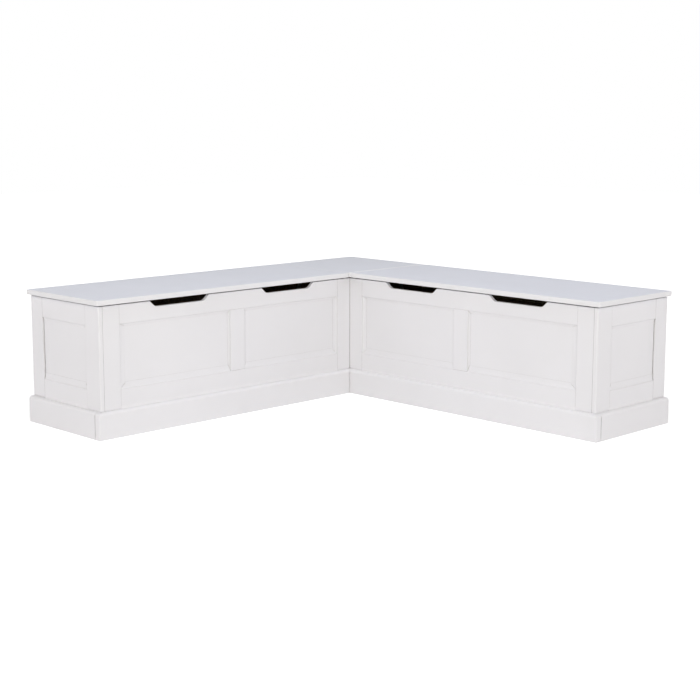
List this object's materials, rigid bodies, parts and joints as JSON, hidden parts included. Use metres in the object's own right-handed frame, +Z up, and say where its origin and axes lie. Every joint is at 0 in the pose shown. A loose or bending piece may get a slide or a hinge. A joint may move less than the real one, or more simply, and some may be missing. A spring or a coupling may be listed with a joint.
{
  "type": "corner storage bench",
  "caption": "L-shaped corner storage bench in white painted wood: panelled chests with hinged seat lids, finger cut-outs and slotted lid stays, a fixed corner seat and a rounded skirting.",
  "frame": {"origin": "on the floor, under the middle of the bench's bounding box", "axes": "+Z up; the right wing runs along X with its front facing -Y, the left wing runs along Y with its front facing +X, and the corner is at -X, +Y. The picture looks from +X, -Y."},
  "size_m": [1.546, 1.546, 0.457],
  "materials": {
    "painted_wood": "satin white paint",
    "painted_seat": "satin white paint",
    "raw_board": "bare board",
    "steel": "zinc plated",
    "rubber": "matt"
  },
  "bodies": {
    "bench": {"right_front_inner_stile": "painted_wood", "right_front_outer_stile": "painted_wood", "right_front_mullion": "painted_wood", "right_front_top_rail": "painted_wood", "right_front_bottom_rail": "painted_wood", "right_front_inner_panel": "painted_wood", "right_front_outer_panel": "painted_wood", "right_front_skirting": "painted_wood", "right_end_skirting": "painted_wood", "right_end_front_stile": "painted_wood", "right_end_back_stile": "painted_wood", "right_end_top_rail": "painted_wood", "right_end_bottom_rail": "painted_wood", "right_end_panel": "painted_wood", "right_inner_end_board": "raw_board", "right_back_board": "raw_board", "right_hinge_rail": "raw_board", "right_bottom_board": "raw_board", "right_corner_back_board": "raw_board", "right_corner_cleat": "raw_board", "right_hinge_frame_leaf": "steel", "right_hinge_pin": "steel", "right_stay_stud": "steel", "right_inner_bumper": "rubber", "right_outer_bumper": "rubber", "left_front_inner_stile": "painted_wood", "left_front_outer_stile": "painted_wood", "left_front_mullion": "painted_wood", "left_front_top_rail": "painted_wood", "left_front_bottom_rail": "painted_wood", "left_front_inner_panel": "painted_wood", "left_front_outer_panel": "painted_wood", "left_front_skirting": "painted_wood", "left_end_skirting": "painted_wood", "left_end_front_stile": "painted_wood", "left_end_back_stile": "painted_wood", "left_end_top_rail": "painted_wood", "left_end_bottom_rail": "painted_wood", "left_end_panel": "painted_wood", "left_inner_end_board": "raw_board", "left_back_board": "raw_board", "left_hinge_rail": "raw_board", "left_bottom_board": "raw_board", "left_corner_back_board": "raw_board", "left_corner_cleat": "raw_board", "left_hinge_frame_leaf": "steel", "left_hinge_pin": "steel", "left_stay_stud": "steel", "left_inner_bumper": "rubber", "left_outer_bumper": "rubber", "corner_seat": "painted_seat", "corner_post": "raw_board"},
    "right_lid_assembly": {"right_lid": "painted_seat", "right_hinge_lid_leaf": "steel", "right_stay_bracket": "steel"},
    "right_stay": {"right_stay_arm": "steel"},
    "left_lid_assembly": {"left_lid": "painted_seat", "left_hinge_lid_leaf": "steel", "left_stay_bracket": "steel"},
    "left_stay": {"left_stay_arm": "steel"}
  },
  "joints": [
    {"name": "right_lid_hinge", "type": "hinge", "parent": "bench", "child": "right_lid_assembly", "pos_m": [0.188, 0.7705, 0.4365], "axis": [-1, 0, 0], "range_deg": [0, 85]},
    {"name": "right_stay_pivot", "type": "hinge", "parent": "right_lid_assembly", "child": "right_stay", "pos_m": [-0.3559, 0.62184, 0.4165], "axis": [-1, 0, 0], "range_deg": [-42.5, 0]},
    {"name": "left_lid_hinge", "type": "hinge", "parent": "bench", "child": "left_lid_assembly", "pos_m": [-0.7705, -0.188, 0.4365], "axis": [0, -1, 0], "range_deg": [0, 85]},
    {"name": "left_stay_pivot", "type": "hinge", "parent": "left_lid_assembly", "child": "left_stay", "pos_m": [-0.62184, 0.3559, 0.4165], "axis": [0, -1, 0], "range_deg": [-42.5, 0]}
  ],
  "couplings": [
    {"joint": "right_stay_pivot", "follows": "right_lid_hinge", "ratio": -0.5},
    {"joint": "left_stay_pivot", "follows": "left_lid_hinge", "ratio": -0.5}
  ]
}
